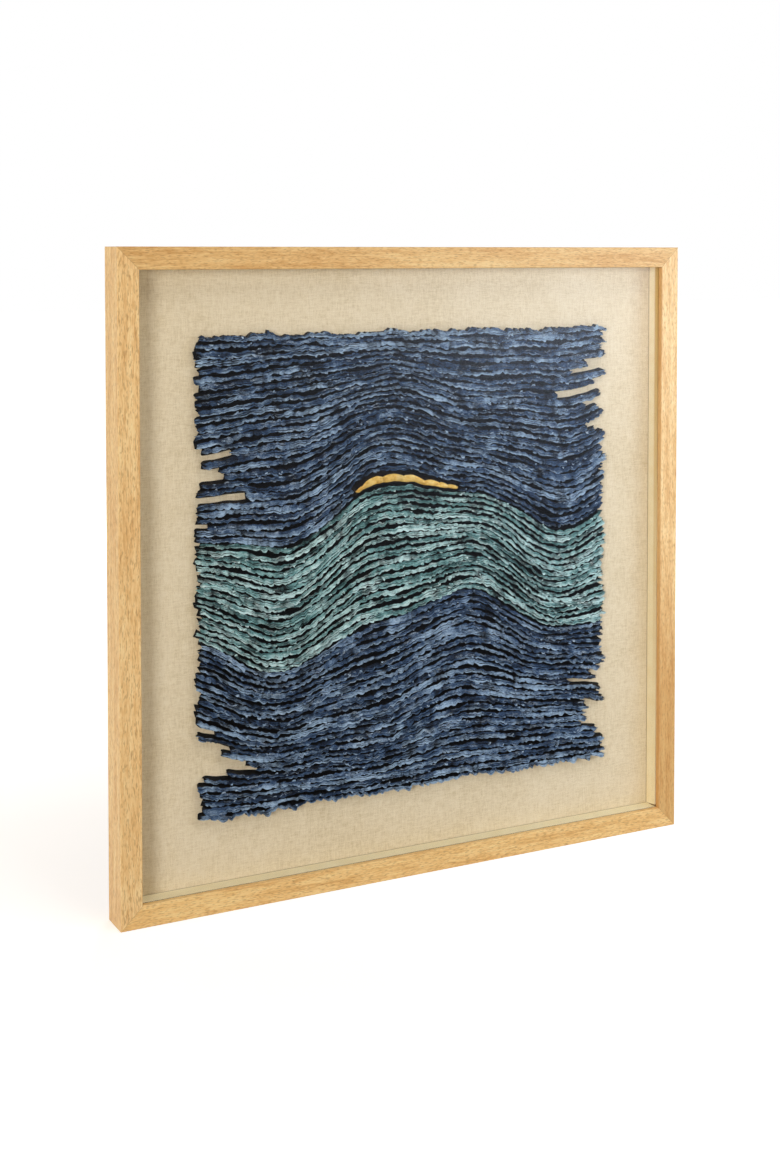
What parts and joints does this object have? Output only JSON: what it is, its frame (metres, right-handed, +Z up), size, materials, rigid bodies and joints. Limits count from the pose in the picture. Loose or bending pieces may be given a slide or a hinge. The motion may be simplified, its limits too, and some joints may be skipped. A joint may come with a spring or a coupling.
{
  "type": "paper shadow box art",
  "caption": "Square mitred wooden shadow box with a glass front, holding a wave relief of torn blue, teal and gilded paper strips on a linen ground; hangs on a wall.",
  "frame": {"origin": "middle of the bottom edge, half way through the depth", "axes": "+X across the picture to the right seen from the front, +Y into the wall, +Z up"},
  "size_m": [0.8, 0.045, 0.8],
  "materials": {
    "frame_wood": "light golden wood, satin",
    "clear_glass": "clear float glass",
    "spacer_card": "matt beige",
    "mount_card": "matt",
    "linen": "natural plain weave",
    "back_hardboard": "hardboard, smooth",
    "steel": "zinc plated",
    "gold_leaf": "gilded",
    "blue_paper": "torn, dry brushed",
    "teal_paper": "torn, dry brushed"
  },
  "bodies": {
    "root": {"frame_rail_top": "frame_wood", "frame_rail_bottom": "frame_wood", "frame_rail_left": "frame_wood", "frame_rail_right": "frame_wood", "glass_pane": "clear_glass", "spacer_top": "spacer_card", "spacer_bottom": "spacer_card", "spacer_left": "spacer_card", "spacer_right": "spacer_card", "mount_board": "mount_card", "linen_cover": "linen", "back_panel": "back_hardboard", "corner_nails": "steel", "retaining_tabs": "steel", "hanger_left": "steel", "hanger_right": "steel", "hanger_screws": "steel", "gold_strip": "gold_leaf", "blue_strips_01": "blue_paper", "blue_strips_02": "blue_paper", "blue_strips_03": "blue_paper", "blue_strips_04": "blue_paper", "blue_strips_05": "blue_paper", "blue_strips_06": "blue_paper", "blue_strips_07": "blue_paper", "blue_strips_08": "blue_paper", "blue_strips_09": "blue_paper", "blue_strips_10": "blue_paper", "blue_strips_11": "blue_paper", "blue_strips_12": "blue_paper", "blue_strips_13": "blue_paper", "blue_strips_14": "blue_paper", "blue_strips_15": "blue_paper", "blue_strips_16": "blue_paper", "blue_strips_17": "blue_paper", "blue_strips_18": "blue_paper", "blue_strips_19": "blue_paper", "blue_strips_20": "blue_paper", "blue_strips_21": "blue_paper", "blue_strips_22": "blue_paper", "blue_strips_23": "blue_paper", "blue_strips_24": "blue_paper", "blue_strips_25": "blue_paper", "blue_strips_26": "blue_paper", "blue_strips_27": "blue_paper", "teal_strips_01": "teal_paper", "teal_strips_02": "teal_paper", "teal_strips_03": "teal_paper", "teal_strips_04": "teal_paper", "teal_strips_05": "teal_paper", "teal_strips_06": "teal_paper", "teal_strips_07": "teal_paper", "teal_strips_08": "teal_paper", "teal_strips_09": "teal_paper"}
  },
  "joints": []
}
